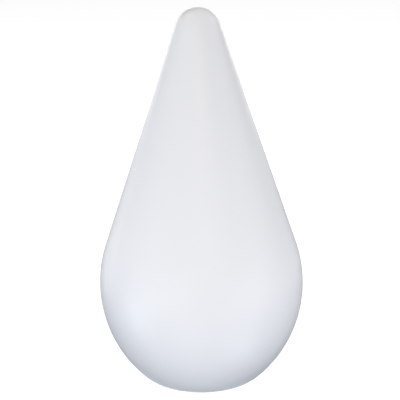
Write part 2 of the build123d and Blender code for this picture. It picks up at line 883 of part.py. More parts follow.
reed_plate_length = 18.0
reed_plate_width = 6.0
reed_plate_height = 1.2
reed_radius = 1.3
reed_length = 13.0
reed_drop = 2.3  # axis of the glass capsule below the ceiling of the bay

with BuildPart() as reed_switch:
    with BuildSketch(Plane.XY.offset(bay_top)):
        with Locations((0, float_y)):
            Rectangle(reed_plate_length, reed_plate_width)
    extrude(amount=-reed_plate_height)
    with BuildSketch(Plane(origin=(-reed_length / 2, float_y, bay_top - reed_drop), z_dir=(1, 0, 0))):
        Circle(reed_radius)
    extrude(amount=reed_length)
save(reed_switch, "reed_switch")

# ---------------------------------------------------------------------------
# Electronics
# ---------------------------------------------------------------------------

with BuildPart() as driver_board:
    with Locations((0, driver_y, driver_bottom)):
        Box(
            2 * driver_half_width,
            board_thickness,
            driver_height,
            align=(Align.CENTER, Align.CENTER, Align.MIN),
        )
save(driver_board, "driver_board")

board_front = driver_y - board_thickness / 2
sink_width = 28.0
sink_bottom = 24.0
sink_height = 30.0
sink_plate = 2.0
fin_count = 6
fin_depth = 7.0
fin_thickness = 1.4
transistor_depth = 2.4
transistor_width = 10.0
transistor_height = 14.0
transistor_rise = 8.0  # above the foot of the heat sink

with BuildPart() as power_transistor:
    with Locations((0, board_front, sink_bottom + transistor_rise)):
        Box(
            transistor_width,
            transistor_depth,
            transistor_height,
            align=(Align.CENTER, Align.MAX, Align.MIN),
        )
save(power_transistor, "power_transistor")

with BuildPart() as heat_sink:
    sink_back = board_front - transistor_depth
    with Locations((0, sink_back, sink_bottom)):
        Box(sink_width, sink_plate, sink_height, align=(Align.CENTER, Align.MAX, Align.MIN))
    fin_pitch = (sink_width - fin_thickness) / (fin_count - 1)
    for index in range(fin_count):
        fin_x = -sink_width / 2 + fin_thickness / 2 + index * fin_pitch
        with Locations((fin_x, sink_back - sink_plate, sink_bottom)):
            Box(fin_thickness, fin_depth, sink_height, align=(Align.CENTER, Align.MAX, Align.MIN))
save(heat_sink, "heat_sink")

board_rear = driver_y + board_thickness / 2
inductor_x = -12.0
inductor_z = 30.0
inductor_radius = 4.5
inductor_length = 9.0
capacitor_sizes = ((2, 26, 3.2, 11), (11, 26, 3.2, 11), (-2, 42, 2.5, 7))  # x, z, radius, length
rear_of_board = Plane(origin=(0, board_rear, 0), x_dir=(-1, 0, 0), z_dir=(0, 1, 0))

with BuildPart() as inductor:
    with BuildSketch(rear_of_board):
        with Locations((-inductor_x, inductor_z)):
            Circle(inductor_radius)
    extrude(amount=inductor_length)
save(inductor, "inductor")

with BuildPart() as capacitors:
    for x, z, radius, length in capacitor_sizes:
        with BuildSketch(rear_of_board):
            with Locations((-x, z)):
                Circle(radius)
        extrude(amount=length)
save(capacitors, "capacitors")

with BuildPart() as power_jack:
    with Locations((0, jack_face, jack_height)):
        Box(jack_width, jack_depth, jack_tall, align=(Align.CENTER, Align.MAX, Align.CENTER))
    with BuildSketch(jack_axis):
        Circle(jack_bore)
    extrude(amount=-jack_bore_depth, mode=Mode.SUBTRACT)
save(power_jack, "power_jack")

with BuildPart() as jack_pin:
    with BuildSketch(jack_axis.offset(-jack_bore_depth)):
        Circle(jack_pin_radius)
    extrude(amount=jack_bore_depth - jack_pin_recess)
save(jack_pin, "jack_pin")

board_half_width = 22.5
board_half_height = 11.5
board_screw_head_radius = 2.0
board_screw_head_height = 1.1
board_screw_depth = 5.0

with BuildPart() as control_board:
    with BuildSketch(panel.offset(board_face)):
        Rectangle(2 * board_half_width, 2 * board_half_height)
        with Locations((-post_x, post_y), (post_x, post_y)):
            Circle(board_screw_radius, mode=Mode.SUBTRACT)
    extrude(amount=-board_thickness)
save(control_board, "control_board")

with BuildPart() as board_screws:
    with BuildSketch(panel.offset(board_face - board_thickness)):
        with Locations((-post_x, post_y), (post_x, post_y)):
            Circle(board_screw_head_radius)
    extrude(amount=-board_screw_head_height)
    with BuildSketch(panel.offset(board_face - board_thickness)):
        with Locations((-post_x, post_y), (post_x, post_y)):
            Circle(board_screw_radius)
    extrude(amount=board_thickness + board_screw_depth)
save(board_screws, "board_screws")

pot_radius = 7.5
pot_top = -6.6
pot_socket = 3.0

with BuildPart() as potentiometer:
    with BuildSketch(panel.offset(board_face)):
        Circle(pot_radius)
    extrude(amount=pot_top - board_face)
    with BuildSketch(panel.offset(pot_top)):
        Circle(shaft_radius + shaft_gap)
    extrude(amount=-pot_socket, mode=Mode.SUBTRACT)
save(potentiometer, "potentiometer")

with BuildPart() as dial_shaft:
    with BuildSketch(panel.offset(pot_top - pot_socket)):
        Circle(shaft_radius)
    extrude(amount=pot_socket - pot_top)
save(dial_shaft, "dial_shaft")

dial_bottom = -dial_well_depth + dial_gap
grip_count = 24
grip_circle = 9.75
grip_radius = 0.55
dial_round = 1.0
marker_place = 5.89
marker_start = 225.0  # where the pointer stands at the least mist, on the panel
marker_length = 4.5
marker_width = 1.0
marker_depth = 0.5

with BuildPart() as mist_dial:
    with BuildSketch(panel.offset(dial_bottom)):
        Circle(dial_radius)
    extrude(amount=dial_proud - dial_bottom)
    fillet(mist_dial.faces().sort_by(Axis(panel.origin, panel.z_dir))[-1].edges(), dial_round)
    with BuildSketch(panel.offset(dial_bottom)):
        with PolarLocations(grip_circle, grip_count):
            Circle(grip_radius)
    extrude(amount=dial_proud - dial_bottom, mode=Mode.SUBTRACT)
    with BuildSketch(panel.offset(dial_bottom)):
        Circle(shaft_radius)
    extrude(amount=-dial_bottom, mode=Mode.SUBTRACT)
    with BuildSketch(panel.offset(dial_proud)):
        with PolarLocations(marker_place, 1, start_angle=marker_start):
            SlotOverall(marker_length, marker_width)
    extrude(amount=-marker_depth, mode=Mode.SUBTRACT)
save(mist_dial, "mist_dial")

switch_side = 6.0
switch_body = 3.2
switch_stem_radius = 1.7
switch_top = -8.6

with BuildPart() as tact_switch:
    with BuildSketch(panel.offset(board_face)):
        with Locations((side_control_x, 0)):
            Rectangle(switch_side, switch_side)
    extrude(amount=switch_body)
    with BuildSketch(panel.offset(board_face)):
        with Locations((side_control_x, 0)):
            Circle(switch_stem_radius)
    extrude(amount=switch_top - board_face)
save(tact_switch, "tact_switch")

proud_drop = drop_solid(-button_proud)

with BuildPart() as power_button:
    with BuildSketch(panel.offset(button_flange_top)):
        with Locations((side_control_x, 0)):
            Circle(button_radius)
    extrude(amount=button_stock)
    add(proud_drop, mode=Mode.INTERSECT)
    with BuildSketch(panel.offset(button_flange_top)):
        with Locations((side_control_x, 0)):
            Circle(button_flange_radius)
    extrude(amount=-button_flange_height)
save(power_button, "power_button")

led_radius = 1.5
led_height = 5.0
lens_back = -7.0

with BuildPart() as power_led:
    with BuildSketch(panel.offset(board_face)):
        with Locations((-side_control_x, 0)):
            Circle(led_radius)
    extrude(amount=led_height)
save(power_led, "power_led")

with BuildPart() as led_lens:
    with BuildSketch(panel.offset(lens_back)):
        with Locations((-side_control_x, 0)):
            Circle(lens_radius)
    extrude(amount=button_stock)
    add(outer_drop, mode=Mode.INTERSECT)
save(led_lens, "led_lens")

# ---------------------------------------------------------------------------
# Leads inside the base
# ---------------------------------------------------------------------------

lead_radius = 1.0


def lead(points, bend):
    """Round lead along straight runs joined by tangent arcs."""
    with BuildPart() as wire:
        with BuildLine() as route:
            FilletPolyline(*points, radius=bend)
        with BuildSketch(Plane(origin=route.line @ 0, z_dir=route.line % 0)):
            Circle(lead_radius)
        sweep(path=route.line)
    return wire


side_x = 23.0
power_lead = lead(
    [
        (3, jack_face - jack_depth, jack_height + 3),
        (3, 46, jack_height + 3),
        (side_x, 40, 30),
        (side_x, -8, 30),
        (16, -16, 30),
        (16, board_rear, 30),
    ],
    2.5,
)
save(power_lead, "power_lead")

fan_lead = lead(
    [
        (-fan_size / 2, 12, 13),
        (-21.5, 12, 13),
        (-21.5, -8, 16),
        (-14, -14, 20),
        (-14, board_rear, 20),
    ],
    1.6,
)
save(fan_lead, "fan_lead")

transducer_lead = lead(
    [
        (3, 0, disc_bottom),
        (3, 0, 63),
        (3, -12, 56),
        (3, board_rear, 56),
    ],
    4,
)
save(transducer_lead, "transducer_lead")

board_back = board_face - board_thickness
control_lead = lead(
    [
        tuple(panel.from_local_coords((14, 0, board_back))),
        tuple(panel.from_local_coords((14, 0, board_back - 7))),
        (-side_x, 58, 54),
        (-side_x, 0, 54),
        (-16, -14, 50),
        (-16, board_rear, 50),
    ],
    2.5,
)
save(control_lead, "control_lead")

print(len(written), "parts written")
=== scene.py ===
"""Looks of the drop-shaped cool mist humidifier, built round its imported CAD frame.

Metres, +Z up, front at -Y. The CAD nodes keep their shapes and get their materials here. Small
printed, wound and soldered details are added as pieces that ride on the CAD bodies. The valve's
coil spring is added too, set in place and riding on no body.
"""

import json
from math import cos, pi, radians, sin

import bmesh
import bpy
from mathutils import Matrix, Vector
from mathutils.bvhtree import BVHTree


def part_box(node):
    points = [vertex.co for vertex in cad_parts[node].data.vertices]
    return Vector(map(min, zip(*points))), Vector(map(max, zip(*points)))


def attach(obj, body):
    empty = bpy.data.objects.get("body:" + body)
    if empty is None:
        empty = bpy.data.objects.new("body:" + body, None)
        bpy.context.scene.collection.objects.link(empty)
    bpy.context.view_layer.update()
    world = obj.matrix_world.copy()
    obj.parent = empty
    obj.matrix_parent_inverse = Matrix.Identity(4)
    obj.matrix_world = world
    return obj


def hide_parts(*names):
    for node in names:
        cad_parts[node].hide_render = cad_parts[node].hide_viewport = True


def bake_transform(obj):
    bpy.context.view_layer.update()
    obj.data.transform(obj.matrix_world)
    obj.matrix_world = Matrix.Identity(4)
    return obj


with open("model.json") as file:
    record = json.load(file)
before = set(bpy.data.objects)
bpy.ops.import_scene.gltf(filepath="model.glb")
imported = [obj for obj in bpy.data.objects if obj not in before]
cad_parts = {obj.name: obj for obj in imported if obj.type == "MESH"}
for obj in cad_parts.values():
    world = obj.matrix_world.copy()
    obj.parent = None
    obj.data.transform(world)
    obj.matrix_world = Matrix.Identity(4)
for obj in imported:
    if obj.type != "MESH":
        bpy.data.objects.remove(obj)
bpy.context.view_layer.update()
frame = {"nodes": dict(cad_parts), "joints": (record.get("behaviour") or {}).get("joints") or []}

MM = 0.001  # metres
QUARTER = pi / 2
scene = bpy.context.scene
nodes = frame["nodes"]
joints = {joint["name"]: joint for joint in frame["joints"]}


# ---------------------------------------------------------------------------
# Material tools
# ---------------------------------------------------------------------------

# Middle part of a noise's values, which a spread stretches over its range
NOISE_LOW = 0.3
NOISE_HIGH = 0.7
STRIPE_EDGE = 0.05  # softness of a stripe's sides, as a share of its width
REGION_EDGE = 0.001  # softness of a region's border, as a share of its random values
EDGE_RADIUS = 0.6 * MM
EDGE_SAMPLES = 4
# Cosines between a face and its bevelled normal, from a full edge to an open face
EDGE_FULL = 0.8
EDGE_NONE = 0.99


class Shader:
    """A node material under construction, with short ways to add and link its nodes."""

    def __init__(self, name, roughness, metallic=0.0, specular=0.5):
        self.material = bpy.data.materials.new(name)
        self.material.use_nodes = True
        self.tree = self.material.node_tree
        self.bsdf = self.tree.nodes["Principled BSDF"]
        self.bsdf.inputs["Metallic"].default_value = metallic
        self.bsdf.inputs["Roughness"].default_value = roughness
        self.bsdf.inputs["Specular IOR Level"].default_value = specular
        self.place = self.add("ShaderNodeTexCoord").outputs["Object"]

    def add(self, kind, **values):
        """Adds a node, with values for its inputs or its settings."""
        node = self.tree.nodes.new(kind)
        for name, value in values.items():
            if name in node.inputs:
                node.inputs[name].default_value = value
            else:
                setattr(node, name, value)
        return node

    def link(self, source, target):
        self.tree.links.new(source, target)

    def feed(self, value, target):
        """Links a socket, or sets a plain value."""
        if isinstance(value, bpy.types.NodeSocket):
            self.link(value, target)
        elif isinstance(value, tuple):
            target.default_value = (*value, 1)
        else:
            target.default_value = value

    def noise(self, scale, detail, stretch=(1, 1, 1)):
        """Noise between 0 and 1. Scale is in features per metre."""
        mapping = self.add("ShaderNodeMapping")
        mapping.inputs["Scale"].default_value = stretch
        self.link(self.place, mapping.inputs["Vector"])
        texture = self.add("ShaderNodeTexNoise", Scale=scale, Detail=detail)
        self.link(mapping.outputs["Vector"], texture.inputs["Vector"])
        return texture.outputs["Fac"]

    def cells(self, scale):
        """Distance from the points of random cells. Scale is in cells per metre."""
        texture = self.add("ShaderNodeTexVoronoi", Scale=scale)
        self.link(self.place, texture.inputs["Vector"])
        return texture.outputs["Distance"]

    def spread(self, source, low, high, start=NOISE_LOW, end=NOISE_HIGH):
        """Maps values from start to end onto the range from low to high."""
        node = self.add("ShaderNodeMapRange")
        for name, value in (("From Min", start), ("From Max", end), ("To Min", low), ("To Max", high)):
            node.inputs[name].default_value = value
        self.link(source, node.inputs["Value"])
        return node.outputs["Result"]

    def patches(self, scale, detail, low=0, high=1):
        """Noise spread over a range, level in its lowest and highest patches."""
        return self.spread(self.noise(scale, detail), low, high)

    def times(self, first, second):
        node = self.add("ShaderNodeMath", operation="MULTIPLY")
        self.feed(first, node.inputs[0])
        self.feed(second, node.inputs[1])
        return node.outputs["Value"]

    def blend(self, factor, first, second):
        """Mixes two colours, each a socket or a plain colour."""
        node = self.add("ShaderNodeMix", data_type="RGBA")
        colours = [socket for socket in node.inputs if socket.type == "RGBA"]
        self.feed(first, colours[0])
        self.feed(second, colours[1])
        self.feed(factor, node.inputs["Factor"])
        return next(socket for socket in node.outputs if socket.type == "RGBA")

    def choose(self, factor, first, second):
        """Mixes two numbers."""
        node = self.add("ShaderNodeMix", data_type="FLOAT")
        numbers = [socket for socket in node.inputs if socket.type == "VALUE"]
        for value, socket in zip((factor, first, second), numbers):
            self.feed(value, socket)
        return next(socket for socket in node.outputs if socket.type == "VALUE")

    def stripes(self, axis, pitch, width):
        """1 on even stripes across one axis, 0 between them."""
        split = self.add("ShaderNodeSeparateXYZ")
        self.link(self.place, split.inputs["Vector"])
        wave = self.add("ShaderNodeMath", operation="PINGPONG")
        self.link(split.outputs[axis], wave.inputs[0])
        wave.inputs[1].default_value = pitch / 2
        inside, outside = width * (0.5 - STRIPE_EDGE), width * (0.5 + STRIPE_EDGE)
        return self.spread(wave.outputs["Value"], 1, 0, inside, outside)

    def region(self, scale, share):
        """1 in a share of square-sided random regions, 0 in the rest."""
        texture = self.add("ShaderNodeTexVoronoi", distance="CHEBYCHEV", Scale=scale)
        self.link(self.place, texture.inputs["Vector"])
        split = self.add("ShaderNodeSeparateColor")
        self.link(texture.outputs["Color"], split.inputs["Color"])
        return self.spread(split.outputs["Red"], 1, 0, share - REGION_EDGE, share + REGION_EDGE)

    def edges(self, radius=EDGE_RADIUS):
        """1 along corners and edges, 0 on open faces."""
        bevel = self.add("ShaderNodeBevel", samples=EDGE_SAMPLES, Radius=radius)
        dot = self.add("ShaderNodeVectorMath", operation="DOT_PRODUCT")
        self.link(bevel.outputs["Normal"], dot.inputs[0])
        self.link(self.add("ShaderNodeNewGeometry").outputs["Normal"], dot.inputs[1])
        return self.spread(dot.outputs["Value"], 1, 0, EDGE_FULL, EDGE_NONE)

    def axis_distance(self):
        """Distance from the frame's Z axis, in metres."""
        flat = self.add("ShaderNodeVectorMath", operation="MULTIPLY")
        self.link(self.place, flat.inputs[0])
        flat.inputs[1].default_value = (1, 1, 0)
        length = self.add("ShaderNodeVectorMath", operation="LENGTH")
        self.link(flat.outputs["Vector"], length.inputs[0])
        return length.outputs["Value"]

    def colour(self, source):
        self.link(source, self.bsdf.inputs["Base Color"])

    def roughness(self, source):
        self.link(source, self.bsdf.inputs["Roughness"])

    def bump(self, source, depth):
        """Relief of the height given by source, in millimetres."""
        node = self.add("ShaderNodeBump", Distance=depth * MM)
        self.link(source, node.inputs["Height"])
        self.link(node.outputs["Normal"], self.bsdf.inputs["Normal"])


def shade(colour, factor):
    """A colour made darker or lighter."""
    return tuple(min(1.0, channel * factor) for channel in colour)


SHELL_TONES = ((0.874, 0.873, 0.873), (0.866, 0.868, 0.871))
SHELL_RUBBED = (0.92, 0.92, 0.92)
SUBSURFACE_DEPTH = 4 * MM
METAL_EDGE = 0.3 * MM
METAL_WEAR = 0.12
FOAM_SHADOW = 0.14

# Circuit boards
TRACK_PITCH = 1.1 * MM
TRACK_WIDTH = 0.34 * MM
TRACK_GREEN = (0.022, 0.165, 0.066)
MASK_GREENS = ((0.008, 0.075, 0.032), (0.011, 0.095, 0.042))
HOLE_TIN = (0.5, 0.48, 0.4)
HOLE_RISE = 1.5  # height of a tinned hole, where a track's is 1

# Transducer disc
ELECTRODE_RADIUS = 6.5 * MM
ELECTRODE_TONES = ((0.66, 0.62, 0.52), (0.78, 0.76, 0.7))
RIM_BRONZE = (0.55, 0.45, 0.28)
FADE = 0.1 * MM

# Lamp lens and capacitor sleeves
LENS_CLEARNESS = 0.75
LENS_IOR = 1.49
SLEEVE_PITCH = 9 * MM
SLEEVE_STRIPE = 2.4 * MM


def moulded(name, colour, roughness, grain=2400, depth=0.02, drift=0.03, wear=0.03, cloudy=0.0):
    """Moulded plastic, rubber or silicone: drift in tone, fine grain, patchy gloss, rubbed edges."""
    shader = Shader(name, roughness, specular=0.4)
    tone = shader.blend(shader.patches(scale=14, detail=4), shade(colour, 1 - drift), colour)
    rubbed = shader.times(shader.edges(), shader.patches(scale=160, detail=4, low=0.2))
    shader.colour(shader.blend(rubbed, tone, shade(colour, 1 + wear)))
    scuffs = shader.noise(scale=420, detail=3, stretch=(1, 1, 0.12))
    gloss = shader.patches(scale=45, detail=5, low=0.92, high=1.08)
    gloss = shader.times(gloss, shader.spread(scuffs, low=0.95, high=1.07))
    shader.roughness(shader.times(gloss, roughness))
    shader.bump(shader.noise(grain, detail=2), depth)
    shader.bsdf.inputs["Subsurface Weight"].default_value = cloudy
    shader.bsdf.inputs["Subsurface Scale"].default_value = SUBSURFACE_DEPTH
    return shader.material


def metal(name, colour, roughness, stretch=(1, 1, 1), grain=1500, depth=0.006, tarnish=0.2):
    """Bare or plated metal: drawn or stamped grain, dull patches and brighter rubbed edges."""
    shader = Shader(name, roughness, metallic=1.0)
    tone = shader.blend(shader.patches(scale=110, detail=5), shade(colour, 1 - tarnish), colour)
    shader.colour(shader.blend(shader.edges(METAL_EDGE), tone, shade(colour, 1 + METAL_WEAR)))
    lines = shader.noise(grain, detail=4, stretch=stretch)
    shader.roughness(shader.times(shader.spread(lines, low=0.8, high=1.25), roughness))
    shader.bump(lines, depth)
    return shader.material


def foam(name, colour):
    """Closed-cell foam: small round cells with a soft skin."""
    shader = Shader(name, roughness=0.85, specular=0.3)
    cells = shader.cells(scale=1300)
    walls = shader.spread(cells, low=0, high=1, start=0.1)
    shader.colour(shader.blend(walls, shade(colour, 1 - FOAM_SHADOW), colour))
    shader.roughness(shader.patches(scale=80, detail=4, low=0.78, high=0.92))
    shader.bump(cells, depth=0.12)
    return shader.material


def circuit(name):
    """Solder mask over copper tracks that run both ways, with tinned holes and a woven glass ground."""
    shader = Shader(name, roughness=0.35)
    upright = shader.stripes("X", TRACK_PITCH, TRACK_WIDTH)
    level = shader.stripes("Z", TRACK_PITCH, TRACK_WIDTH)
    lines = shader.choose(shader.region(scale=130, share=0.5), upright, level)
    tracks = shader.times(lines, shader.region(scale=95, share=0.6))
    holes = shader.spread(shader.cells(scale=330), low=1, high=0, start=0.1, end=0.11)
    ground = shader.blend(shader.patches(scale=900, detail=2), *MASK_GREENS)
    masked = shader.blend(tracks, ground, TRACK_GREEN)
    shader.colour(shader.blend(holes, masked, HOLE_TIN))
    shader.roughness(shader.patches(scale=70, detail=4, low=0.28, high=0.42))
    shader.bump(shader.choose(holes, tracks, HOLE_RISE), depth=0.05)
    return shader.material


def piezo(name):
    """Plated ceramic disc: a bright central electrode inside a duller rim."""
    shader = Shader(name, roughness=0.3, metallic=0.9)
    rim = shader.spread(shader.axis_distance(), 0, 1, ELECTRODE_RADIUS - FADE, ELECTRODE_RADIUS + FADE)
    bright = shader.blend(shader.patches(scale=260, detail=5), *ELECTRODE_TONES)
    shader.colour(shader.blend(rim, bright, RIM_BRONZE))
    shader.roughness(shader.patches(scale=190, detail=4, low=0.22, high=0.42))
    shader.bump(shader.noise(scale=1700, detail=3), depth=0.008)
    return shader.material


def clear(name, colour):
    """Clear lens plastic with faint flow lines."""
    shader = Shader(name, roughness=0.12)
    shader.bsdf.inputs["Transmission Weight"].default_value = LENS_CLEARNESS
    shader.bsdf.inputs["IOR"].default_value = LENS_IOR
    shader.colour(shader.blend(shader.patches(scale=500, detail=3), shade(colour, 0.93), colour))
    shader.roughness(shader.patches(scale=300, detail=4, low=0.08, high=0.2))
    shader.bump(shader.noise(scale=800, detail=2, stretch=(1, 1, 0.3)), depth=0.01)
    return shader.material


def sleeve(name, colour, stripe):
    """Printed shrink sleeve: satin film with a paler stripe on one side."""
    shader = Shader(name, roughness=0.4)
    mark = shader.stripes("X", SLEEVE_PITCH, SLEEVE_STRIPE)
    film = shader.blend(shader.patches(scale=120, detail=4), shade(colour, 0.85), colour)
    shader.colour(shader.blend(mark, film, stripe))
    shader.roughness(shader.patches(scale=200, detail=3, low=0.34, high=0.48))
    shader.bump(shader.noise(scale=900, detail=3), depth=0.012)
    return shader.material


def shell_plastic(name):
    """The drop itself: satin white with a barely visible drift in tone and gloss."""
    shader = Shader(name, roughness=0.42, specular=0.35)
    tone = shader.blend(shader.patches(scale=9, detail=3), *SHELL_TONES)
    rubbed = shader.times(shader.edges(), shader.patches(scale=160, detail=4, low=0.1, high=0.8))
    shader.colour(shader.blend(rubbed, tone, SHELL_RUBBED))
    shader.roughness(shader.patches(scale=45, detail=5, low=0.38, high=0.46))
    shader.bump(shader.noise(scale=2200, detail=2), depth=0.012)
    return shader.material


# ---------------------------------------------------------------------------
# Materials, one for each slot of the record
# ---------------------------------------------------------------------------

FINISHES = {
    "tank_white": shell_plastic("shell_plastic"),
    "liner_white": moulded("liner_plastic", (0.85, 0.858, 0.872), 0.42),
    "base_white": moulded("base_plastic", (0.845, 0.855, 0.872), 0.42),
    "dial_white": moulded("dial_plastic", (0.86, 0.865, 0.88), 0.33, grain=3200, depth=0.008, wear=0.06),
    "natural_plastic": moulded("natural_plastic", (0.74, 0.77, 0.79), 0.38, cloudy=0.25),
    "nozzle_grey": moulded("nozzle_plastic", (0.71, 0.725, 0.745), 0.36, grain=3000, depth=0.01, wear=0.08),
    "cap_plastic": moulded("cap_plastic", (0.6, 0.68, 0.75), 0.4, wear=0.08),
    "float_foam": foam("float_foam", (0.82, 0.82, 0.8)),
    "magnet": metal("ferrite_magnet", (0.09, 0.09, 0.095), 0.55, depth=0.02, tarnish=0.35),
    "screw_steel": metal("zinc_plated_steel", (0.62, 0.63, 0.64), 0.3),
    "spring_steel": metal("spring_steel", (0.5, 0.5, 0.51), 0.26, stretch=(1, 1, 5)),
    "rubber_grey": moulded(
        "foot_rubber", (0.16, 0.165, 0.17), 0.75, grain=1800, depth=0.05, drift=0.2, wear=0.25
    ),
    "silicone": moulded("silicone", (0.78, 0.8, 0.82), 0.5, grain=1500, depth=0.03, cloudy=0.35),
    "transducer_metal": piezo("plated_ceramic"),
    "black_plastic": moulded("black_plastic", (0.028, 0.029, 0.031), 0.45, depth=0.03, drift=0.3, wear=0.9),
    "circuit_board": circuit("circuit_board"),
    "aluminium": metal("extruded_aluminium", (0.8, 0.81, 0.82), 0.5, stretch=(1, 1, 0.03), depth=0.02),
    "copper": metal("enamelled_copper", (0.6, 0.24, 0.09), 0.25, tarnish=0.3),
    "capacitor_sleeve": sleeve("capacitor_sleeve", (0.02, 0.024, 0.05), (0.55, 0.57, 0.6)),
    "contact_metal": metal("nickel_contact", (0.66, 0.63, 0.56), 0.22, stretch=(1, 6, 1)),
    "led_clear": clear("lens_plastic", (0.75, 0.86, 0.95)),
    "lead_sleeve": moulded(
        "lead_sleeve", (0.06, 0.062, 0.066), 0.5, grain=1600, depth=0.02, drift=0.25, wear=0.5
    ),
}
MARK_INK = moulded("mark_ink", (0.36, 0.375, 0.4), 0.55, grain=3600, depth=0.008, drift=0.08, wear=0.1)
TIN = metal("tinned_copper", (0.7, 0.7, 0.69), 0.3)

for node in nodes.values():
    slots = node.data.materials
    slot = slots[0].name
    slots.clear()
    slots.append(FINISHES[slot])

# ---------------------------------------------------------------------------
# Mesh tools
# ---------------------------------------------------------------------------

SMOOTH_ANGLE = radians(35)
SHARED_DIGITS = 8
BEVEL_STEPS = 2
ROUND = 0.5  # bevel profile of a quarter circle


def make_piece(name, bm, body, materials):
    """Turns a finished bmesh into a piece that rides on a CAD body, or on none yet."""
    bmesh.ops.recalc_face_normals(bm, faces=bm.faces)
    mesh = bpy.data.meshes.new(name)
    bm.to_mesh(mesh)
    bm.free()
    for face in mesh.polygons:
        face.use_smooth = True
    mesh.set_sharp_from_angle(angle=SMOOTH_ANGLE)
    for material in materials:
        mesh.materials.append(material)
    piece = bpy.data.objects.new(name, mesh)
    scene.collection.objects.link(piece)
    if body:
        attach(piece, body)
    return piece


def slab(bm, faces, lower, upper):
    """Closed solid between two placings of the same flat faces."""
    pairs = {}
    for face in faces:
        for point in face:
            if point not in pairs:
                pairs[point] = (bm.verts.new(lower(point)), bm.verts.new(upper(point)))
    rim = set()
    for face in faces:
        bm.faces.new([pairs[point][1] for point in face])
        bm.faces.new([pairs[point][0] for point in reversed(face)])
        for start, end in zip(face, face[1:] + face[:1]):
            if (end, start) in rim:
                rim.remove((end, start))
            else:
                rim.add((start, end))
    for start, end in sorted(rim):
        bm.faces.new((pairs[start][0], pairs[end][0], pairs[end][1], pairs[start][1]))


def flat_point(x, y):
    """Point of a flat drawing, rounded so that faces share it."""
    return (round(x, SHARED_DIGITS), round(y, SHARED_DIGITS))


def dot_face(x, y, radius, count=20):
    """Round dot."""
    steps = (2 * pi * index / count for index in range(count))
    return [[flat_point(x + radius * cos(step), y + radius * sin(step)) for step in steps]]


def slot_face(x, y, width, height, count=8):
    """Upright slot with round ends."""
    rise = height / 2 - width / 2
    points = []
    for sign, start in ((1, 0), (-1, pi)):
        for index in range(count + 1):
            angle = start + pi * index / count
            points.append(flat_point(x + width / 2 * cos(angle), y + sign * rise + width / 2 * sin(angle)))
    return [points]


def arc_faces(x, y, inner, outer, start, end, count=24):
    """Band along an arc, from start to end in degrees."""
    faces = []
    angles = [radians(start + (end - start) * index / count) for index in range(count + 1)]
    for first, second in zip(angles, angles[1:]):
        faces.append([
            flat_point(x + inner * cos(first), y + inner * sin(first)),
            flat_point(x + outer * cos(first), y + outer * sin(first)),
            flat_point(x + outer * cos(second), y + outer * sin(second)),
            flat_point(x + inner * cos(second), y + inner * sin(second)),
        ])
    return faces


def block(bm, place, size, bevel, material=0):
    """Box with rounded edges, centred on a placing. Its size and bevel are in millimetres."""
    size = (length * MM for length in size)
    box = bmesh.new()
    bmesh.ops.create_cube(box, size=1, matrix=place @ Matrix.Diagonal((*size, 1)))
    bmesh.ops.bevel(
        box, geom=box.edges[:], offset=bevel * MM, segments=BEVEL_STEPS, affect="EDGES", profile=ROUND
    )
    # A bevel's points and faces come in no fixed order, so they are sorted to be the same in every run
    spots = sorted(box.verts, key=lambda vert: vert.co[:])
    rank = {vert: index for index, vert in enumerate(spots)}
    verts = [bm.verts.new(vert.co) for vert in spots]
    loops = []
    for face in box.faces:
        loop = [rank[vert] for vert in face.verts]
        first = loop.index(min(loop))
        loops.append(loop[first:] + loop[:first])
    for loop in sorted(loops):
        bm.faces.new([verts[index] for index in loop]).material_index = material
    box.free()


def ring_points(radius, height, sides):
    """Points of a level circle."""
    turns = [2 * pi * step / sides for step in range(sides)]
    return [Vector((radius * cos(turn), radius * sin(turn), height)) for turn in turns]


def tube(bm, points, radius, sides=8, material=0):
    """Round tube along a list of points, closed at both ends."""
    rings = []
    side = None
    for index, point in enumerate(points):
        ahead = points[min(index + 1, len(points) - 1)] - points[max(index - 1, 0)]
        ahead.normalize()
        if side is None:
            side = ahead.orthogonal()
        side = (side - ahead * side.dot(ahead)).normalized()
        up = ahead.cross(side)
        circle = ring_points(radius, 0, sides)
        rings.append([bm.verts.new(point + side * spot.x + up * spot.y) for spot in circle])
    for first, second in zip(rings, rings[1:]):
        for step in range(sides):
            after = (step + 1) % sides
            face = bm.faces.new((first[step], first[after], second[after], second[step]))
            face.material_index = material
    for ring in (rings[0], rings[-1]):
        bm.faces.new(ring).material_index = material


def in_metres(pairs):
    return [(radius * MM, height * MM) for radius, height in pairs]


def lathe(bm, place, profile, sides=40, material=0):
    """Closed ring or disc turned round the placing's Z axis; profile is (radius, height) pairs."""
    rings = []
    for radius, height in profile:
        points = ring_points(radius, height, sides) if radius else [Vector((0, 0, height))]
        rings.append([bm.verts.new(place @ point) for point in points])
    for first, second in zip(rings, rings[1:] + rings[:1]):
        if len(first) == 1 and len(second) == 1:
            continue
        for step in range(sides):
            after = (step + 1) % sides
            corners = [first[step % len(first)], second[step % len(second)]]
            if len(second) > 1:
                corners.append(second[after])
            if len(first) > 1:
                corners.append(first[after])
            bm.faces.new(corners).material_index = material


# ---------------------------------------------------------------------------
# Marks on the control panel
# ---------------------------------------------------------------------------

PANEL_NORMAL = -Vector(joints["dial_turn"]["axis"]).normalized()
PANEL_CENTRE = Vector(joints["dial_turn"]["pos_m"])
PANEL_X = Vector((-1, 0, 0))
PANEL_Y = PANEL_NORMAL.cross(PANEL_X)
PANEL = Matrix((
    (PANEL_X.x, PANEL_Y.x, PANEL_NORMAL.x, PANEL_CENTRE.x),
    (PANEL_X.y, PANEL_Y.y, PANEL_NORMAL.y, PANEL_CENTRE.y),
    (PANEL_X.z, PANEL_Y.z, PANEL_NORMAL.z, PANEL_CENTRE.z),
    (0, 0, 0, 1),
))
INK_SUNK = 0.08 * MM
INK_PROUD = 0.06 * MM
CAST_FROM = 10 * MM

